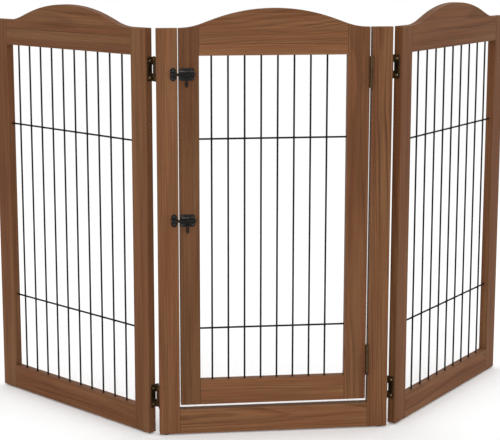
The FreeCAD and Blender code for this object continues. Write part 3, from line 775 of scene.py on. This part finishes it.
@dataclass
class WireGrille:
    """Upright and level wire bars of one panel, with the welds between them."""

    panel: Panel
    upright_count: int
    waver: float = 0.5 * MM
    sides: int = 20
    bead_share: float = 1.06
    bead_seed: int = 7

    def build(self, bars: NodeTree, welds: NodeTree, material: Material) -> None:
        """Make the bars and the welds in the panel's place.

        Args:
            bars: the tree of a row of bars.
            welds: the tree of the weld beads.
            material: the bars' finish.
        """
        name = self.panel.name
        low, high = self.panel.box(f"{name}_upright_wires")
        far, near = self.panel.box(f"{name}_level_wires")
        radius = (high.y - low.y) / 2
        step = Vector(((high.x - low.x - 2 * radius) / (self.upright_count - 1), 0, 0))
        start = Vector((low.x + radius, low.y + radius, low.z))
        level_step = Vector((0, 0, near.z - far.z - 2 * radius))
        level_start = Vector((far.x, far.y + radius, far.z + radius))
        rows = (("upright", self.upright_count, start, step, Vector((0, 0, high.z - low.z))),
                ("level", 2, level_start, level_step, Vector((near.x - far.x, 0, 0))))
        for seed, (kind, count, first, pitch, run) in enumerate(rows):
            values = {"Count": count, "Start": first, "Step": pitch, "Run": run, "Radius": radius,
                      "Sides": self.sides, "Waver": self.waver, "Seed": seed, "Material": material}
            mesh = apply_tree(bars, bpy.data.meshes.new("row"), values)
            mesh.transform(self.panel.turned())
            place_piece(f"{name}_{kind}_bars", mesh, name, [f"{name}_{kind}_wires"], material)
        crossing = Vector((start.x, (start.y + level_start.y) / 2, level_start.z))
        values = {"Count": self.upright_count, "Start": crossing, "Step": step,
                  "Level Step": level_step, "Radius": self.bead_share * radius,
                  "Seed": self.bead_seed, "Material": material}
        mesh = apply_tree(welds, bpy.data.meshes.new("beads"), values)
        mesh.transform(self.panel.turned())
        beads = place_piece(f"{name}_weld_beads", mesh, name, [], material)


# ---------------------------------------------------------------- screws

@dataclass(frozen=True)
class ScrewShape:
    """A countersunk wood screw with a domed head and a cross recess."""

    head_radius: float
    head_height: float
    shank_radius: float
    shank_length: float
    lip_share: float = 0.06
    taper_share: float = 0.8
    recess_reach: float = 0.56
    recess_width: float = 0.20
    recess_depth: float = 0.75
    recess_foot: float = 0.55
    recess_mouth: float = 1.06
    recess_top: float = 1.2
    dome_steps: int = 7
    segments: int = 32

    def object(self, name: str) -> Object:
        """One screw at the origin with its head towards +Z, as an object of its own."""
        radius, height = self.head_radius, self.head_height
        ball = (radius ** 2 + height ** 2) / (2 * height)
        reach = math.asin(min(1.0, radius / ball))
        turns = [reach * k / self.dome_steps for k in range(self.dome_steps + 1)]
        dome = [(ball * math.sin(turn), height - ball * (1 - math.cos(turn))) for turn in turns]
        lip = self.lip_share * radius
        profile = dome + [(radius, -lip), (radius - lip, -2 * lip),
                          (self.shank_radius, -2 * lip - (radius - self.shank_radius) / 2),
                          (self.shank_radius, -self.shank_length * self.taper_share),
                          (0.0, -self.shank_length)]
        mesh = bmesh.new()
        verts = [mesh.verts.new((x, 0, z)) for x, z in profile]
        edges = [mesh.edges.new(pair) for pair in zip(verts, verts[1:])]
        bmesh.ops.spin(mesh, geom=verts + edges, cent=(0, 0, 0), axis=(0, 0, 1),
                       angle=math.tau, steps=self.segments)
        bmesh.ops.remove_doubles(mesh, verts=mesh.verts, dist=0.1 * LOOSE)
        bmesh.ops.recalc_face_normals(mesh, faces=mesh.faces)
        screw = in_scene(name, plain_mesh(name, mesh))
        self.cut_recess(screw)
        return screw

    def cut_recess(self, screw: Object) -> None:
        """Cut the cross recess, tapered towards its foot, and take the cutter away again."""
        reach = self.recess_reach * self.head_radius
        half = self.recess_width * self.head_radius
        foot = self.head_height * (1 - self.recess_depth)
        levels = ((foot, self.recess_foot), (self.head_height * self.recess_top, self.recess_mouth))
        cutter = bmesh.new()
        for across, along in ((half, reach), (reach, half)):
            rims = []
            for z, share in levels:
                rims.append([cutter.verts.new((x * across * share, y * along * share, z))
                             for x, y in ((-1, -1), (1, -1), (1, 1), (-1, 1))])
            cutter.faces.new(rims[0][::-1])
            cutter.faces.new(rims[1])
            for k in range(4):
                following = (k + 1) % 4
                cutter.faces.new((rims[0][k], rims[0][following], rims[1][following], rims[1][k]))
        tool = in_scene("recess", plain_mesh("recess", cutter))
        cut = screw.modifiers.new("recess", "BOOLEAN")
        cut.operation, cut.object, cut.solver, cut.use_self = "DIFFERENCE", tool, "EXACT", True
        graph = bpy.context.evaluated_depsgraph_get()
        finished = bpy.data.meshes.new_from_object(screw.evaluated_get(graph))
        screw.modifiers.clear()
        screw.data = finished
        bpy.data.objects.remove(tool)


def screw_tree() -> NodeTree:
    """Geometry tree that sets a screw on every point, along its `outward` direction.

    Returns:
        The tree, with the screw, the spin's seed and the finish as named inputs.
    """
    tree, bench, given = new_group("screws_on_points", "GeometryNodeTree", [
        ("Geometry", "Geometry", None), ("Screw", "Object", None),
        ("Seed", "Int", 1), ("Material", "Material", None)],
        [("Geometry", "Geometry")])
    screw = bench.add("GeometryNodeObjectInfo", {"Object": given["Screw"]})
    outward = bench.add("GeometryNodeInputNamedAttribute", {"Name": "outward"},
                        data_type="FLOAT_VECTOR").outputs[0]
    aim = bench.add("FunctionNodeAlignRotationToVector", {"Vector": outward}, axis="Z")
    spin = bench.add("FunctionNodeRandomValue", {2: 0.0, 3: math.pi / 2, "Seed": given["Seed"]},
                     data_type="FLOAT")
    about = bench.add("FunctionNodeAxisAngleToRotation", {"Axis": (0, 0, 1),
                                                          "Angle": spin.outputs[1]})
    turned = bench.add("FunctionNodeRotateRotation", {"Rotation": aim.outputs[0],
                                                      "Rotate By": about.outputs[0]},
                       rotation_space="LOCAL")
    placed = bench.add("GeometryNodeInstanceOnPoints", {
        "Points": given["Geometry"], "Instance": screw.outputs["Geometry"],
        "Rotation": turned.outputs[0]})
    hand_out(bench, placed, given["Material"], smooth=False)
    return tree


@dataclass
class ScrewSet:
    """The screws of one CAD node, each set where the plain one is."""

    node: str
    panel: Panel
    shapes: Sequence[ScrewShape]
    material: Material
    outer: float = math.radians(28)
    crease: float = math.radians(32)

    def seats(self) -> list[tuple[Vector, Vector, float]]:
        """Seat, outward direction and head height of each plain screw, with the panel in line."""
        mesh = solid_copy(self.node)
        mesh.transform(self.panel.turned().inverted())
        waiting, found = set(mesh.verts), []
        while waiting:
            island, edge = set(), [waiting.pop()]
            while edge:
                vertex = edge.pop()
                island.add(vertex)
                linked = {e.other_vert(vertex) for e in vertex.link_edges} & waiting
                waiting -= linked
                edge.extend(linked)
            found.append(self.seat_of([vertex.co.copy() for vertex in island]))
        mesh.free()
        return sorted(found, key=lambda seat: tuple(round(v, 6) for v in seat[0]))

    @staticmethod
    def seat_of(places: Sequence[Vector]) -> tuple[Vector, Vector, float]:
        """Seat, outward direction and head height of one plain screw from its vertices."""
        low, high = box_of(places)
        middle, size = (low + high) / 2, high - low
        axis = max(range(3), key=lambda k: size[k])

        def off_axis(place: Vector) -> float:
            """Squared distance from the screw's axis."""
            return sum((place[k] - middle[k]) ** 2 for k in range(3) if k != axis)

        rim = max(places, key=off_axis)
        sign = 1.0 if rim[axis] > middle[axis] else -1.0
        seat, outward = middle.copy(), Vector((0, 0, 0))
        seat[axis] = rim[axis]
        outward[axis] = sign
        tip = high[axis] if sign > 0 else low[axis]
        return seat, outward, abs(tip - rim[axis])

    def build(self, tree: NodeTree, seed: int) -> None:
        """Set the screws; each takes the shape whose head height is nearest to the plain one's."""
        meshes = []
        for index, shape in enumerate(self.shapes):
            seats = [(place, outward) for place, outward, height in self.seats()
                     if min(self.shapes, key=lambda s: abs(s.head_height - height)) is shape]
            points = bpy.data.meshes.new("seats")
            points.from_pydata([tuple(place) for place, _ in seats], [], [])
            attribute = points.attributes.new("outward", "FLOAT_VECTOR", "POINT")
            attribute.data.foreach_set("vector", [v for _, outward in seats for v in outward])
            screw = shape.object(f"screw_shape_{index}")
            meshes.append(apply_tree(tree, points, {"Screw": screw, "Seed": seed + index,
                                                    "Material": self.material}))
            bpy.data.objects.remove(screw)
        joined = bmesh.new()
        for mesh in meshes:
            joined.from_mesh(mesh)
        mark_edges(joined, self.panel.turned(), self.outer)
        made = plain_mesh(self.node, joined)
        made.set_sharp_from_angle(angle=self.crease)
        body = self.panel.name
        place_piece(f"{self.node}_cross_head", made, body, [self.node], self.material)


# ---------------------------------------------------------------- ironmongery

def mark_edges(mesh: BMesh, turn: Matrix, angle: float, full: float = math.pi / 3) -> None:
    """Turn a mesh into place, shade it smooth and note its outer edges in an attribute.

    Args:
        mesh: the mesh.
        turn: the matrix into place.
        angle: edges that bend outwards by more than this count.
        full: the bend that counts as one.
    """
    mesh.transform(turn)
    mesh.normal_update()
    layer = mesh.verts.layers.float.new("edge")
    for face in mesh.faces:
        face.smooth = True
    for edge in mesh.edges:
        bend = edge.calc_face_angle_signed(0.0)
        if bend > angle:
            for vertex in edge.verts:
                vertex[layer] = max(vertex[layer], min(1.0, bend / full))


@dataclass
class Fitting:
    """One piece of ironmongery whose CAD edges are eased, as pressing and plating leave them."""

    node: str
    body: str
    material: Material
    ease: float = 0.22 * MM
    ease_steps: int = 2
    flat: float = math.radians(0.6)
    sharp: float = math.radians(34)
    outer: float = math.radians(26)
    crease: float = math.radians(38)

    def build(self) -> None:
        """Make the eased copy and let it stand for the CAD node.

        Of each eased edge only the middle line bends by more than `outer`, so the wear stays off
        the faces on both sides.
        """
        mesh = solid_copy(self.node)
        bmesh.ops.dissolve_limit(mesh, angle_limit=self.flat, verts=mesh.verts, edges=mesh.edges)
        mesh.normal_update()
        corners = [e for e in mesh.edges if e.is_manifold and e.calc_face_angle(0.0) > self.sharp]
        bmesh.ops.bevel(mesh, geom=corners, offset=self.ease, offset_type="OFFSET",
                        segments=self.ease_steps, profile=0.5, affect="EDGES", clamp_overlap=True)
        bmesh.ops.triangulate(mesh, faces=[f for f in mesh.faces if len(f.verts) > 4])
        bmesh.ops.remove_doubles(mesh, verts=mesh.verts, dist=0.5 * LOOSE)
        mark_edges(mesh, Matrix.Identity(4), self.outer)
        made = plain_mesh(self.node, mesh)
        made.set_sharp_from_angle(angle=self.crease)
        place_piece(f"{self.node}_eased", made, self.body, [self.node], self.material)


@dataclass
class Ironmongery:
    """Hinges, bolts and glides."""

    groups: Groups

    def build(self) -> None:
        """Make every fitting, each in its own finish."""
        bronze, latch = BRONZE.material(self.groups), BLACK_LATCH.material(self.groups)
        plastic = GLIDE_PLASTIC.material(self.groups)
        plates = [(f"{place}_{level}_fixed_leaf", "centre_frame")
                  for place in ("left", "right", "door") for level in ("upper", "lower")]
        plates += [(f"door_{level}_moving_leaf", "door") for level in ("upper", "lower")]
        plates += [(f"{wing}_{level}_leaf", wing) for wing in ("left_wing", "right_wing")
                   for level in ("upper", "lower")]
        plates += [(f"{place}_hinge_pins", "centre_frame") for place in ("left", "right", "door")]
        for node, body in plates:
            Fitting(node, body, bronze).build()
        for level in ("upper", "lower"):
            Fitting(f"{level}_keeper", "centre_frame", latch, ease=0.3 * MM).build()
            Fitting(f"{level}_bolt_case", "door", latch, ease=0.3 * MM).build()
            Fitting(f"{level}_bolt", f"{level}_bolt", latch).build()
            Fitting(f"{level}_knob", f"{level}_knob", latch).build()
        for node, body in (("frame_glides", "centre_frame"), ("left_wing_glides", "left_wing"),
                           ("right_wing_glides", "right_wing")):
            Fitting(node, body, plastic).build()

    def build_screws(self) -> None:
        """Make every set of screws."""
        tree = screw_tree()
        black = BLACK_SCREW.material(self.groups)
        bright = BRIGHT_BRONZE.material(self.groups)
        panel_screw = ScrewShape(head_radius=3.0 * MM, head_height=0.9 * MM,
                                 shank_radius=1.5 * MM, shank_length=13.0 * MM)
        door_screw = ScrewShape(head_radius=3.0 * MM, head_height=0.5 * MM,
                                shank_radius=1.5 * MM, shank_length=13.0 * MM)
        latch_screw = ScrewShape(head_radius=2.2 * MM, head_height=0.7 * MM,
                                 shank_radius=1.2 * MM, shank_length=9.0 * MM)
        sets = (("frame_hinge_screws", MIDDLE, (panel_screw, door_screw), bright),
                ("door_hinge_screws", DOOR, (door_screw,), bright),
                ("left_wing_screws", LEFT_WING, (panel_screw,), bright),
                ("right_wing_screws", RIGHT_WING, (panel_screw,), bright),
                ("keeper_screws", MIDDLE, (latch_screw,), black),
                ("case_screws", DOOR, (latch_screw,), black))
        for seed, (node, panel, shapes, material) in enumerate(sets, start=1):
            ScrewSet(node, panel, shapes, material).build(tree, 10 * seed)


# ---------------------------------------------------------------- studio

@dataclass(frozen=True)
class Lamp:
    """Square soft light aimed at a point."""

    name: str
    place: Triple
    target: Triple
    size: float
    power: float

    def build(self) -> None:
        """Hang the light."""
        data = bpy.data.lights.new(self.name, "AREA")
        data.shape, data.size, data.energy = "SQUARE", self.size, self.power
        lamp = in_scene(self.name, data)
        lamp.location = self.place
        aim = Vector(self.target) - Vector(self.place)
        lamp.rotation_euler = aim.to_track_quat("-Z", "Y").to_euler()


KEY_LIGHT = Lamp("key_light", (-0.9, -4.6, 1.9), (0, 0, 0.45), size=2.2, power=32)
TOP_LIGHT = Lamp("top_light", (0.3, 0.5, 3.4), (0, -0.1, 0.4), size=2.6, power=14)
WHITE = (1.0, 1.0, 1.0, 1.0)


@dataclass
class Studio:
    """Pale floor, soft lights and the camera."""

    eye: Triple = (-0.3733, -2.9519, 1.0613)
    yaw: float = 6.241
    pitch: float = 9.447
    lens: float = 96.84
    sensor_width: float = 36.0
    shift: Span = (0.0169, -0.12)
    floor_size: float = 120.0
    floor_tone: float = 0.93
    floor_roughness: float = 0.9
    floor_glow: float = 0.07
    sky_strength: float = 1.0
    lamps: tuple[Lamp, ...] = (KEY_LIGHT, TOP_LIGHT)

    def build(self) -> None:
        """Set up the floor, the lights and the camera."""
        self.floor()
        self.sky()
        for lamp in self.lamps:
            lamp.build()
        self.camera()

    def floor(self) -> None:
        """Wide pale floor."""
        half = self.floor_size / 2
        data = bpy.data.meshes.new("floor")
        data.from_pydata([(-half, -half, 0), (half, -half, 0), (half, half, 0), (-half, half, 0)],
                         [], [(0, 1, 2, 3)])
        made, bench, shader = new_material("pale_floor")
        tone = self.floor_tone
        bench.feed(shader, {
            "Base Color": (tone, tone, tone, 1.0), "Roughness": self.floor_roughness,
            "Specular IOR Level": 0.0, "Emission Color": WHITE,
            "Emission Strength": self.floor_glow})
        data.materials.append(made)
        in_scene("floor", data)

    def sky(self) -> None:
        """Even pale surroundings."""
        world = bpy.data.worlds.new("surroundings")
        world.use_nodes = True
        back = world.node_tree.nodes["Background"]
        back.inputs["Color"].default_value = WHITE
        back.inputs["Strength"].default_value = self.sky_strength
        bpy.context.scene.world = world

    def camera(self) -> None:
        """Camera at its place, looking a little down and to the right."""
        data = bpy.data.cameras.new("camera")
        data.lens, data.sensor_width = self.lens, self.sensor_width
        data.shift_x, data.shift_y = self.shift
        data.clip_end = 2 * self.floor_size
        eye = in_scene("camera", data)
        eye.location = self.eye
        turn = (math.radians(90 - self.pitch), 0.0, -math.radians(self.yaw))
        eye.rotation_euler = Euler(turn, "XYZ")
        bpy.context.scene.camera = eye
        bpy.context.scene.view_settings.view_transform = "Standard"


def main() -> None:
    """Build the studio, then every part of the gate in order."""
    logging.basicConfig(level=logging.INFO, format="%(message)s")
    Studio().build()
    groups = {tree.name: tree for tree in (timber_grain_group(), arris_group(), worn_metal_group())}
    TimberWork(BOARD_CUTS, groups).dress()
    bars, welds, black = bar_row_tree(), weld_tree(), BLACK_BAR.material(groups)
    for panel, count in ((DOOR, 8), (LEFT_WING, 10), (RIGHT_WING, 9)):
        WireGrille(panel, count).build(bars, welds, black)
    ironmongery = Ironmongery(groups)
    ironmongery.build()
    ironmongery.build_screws()


if __name__ == "__main__":
    main()
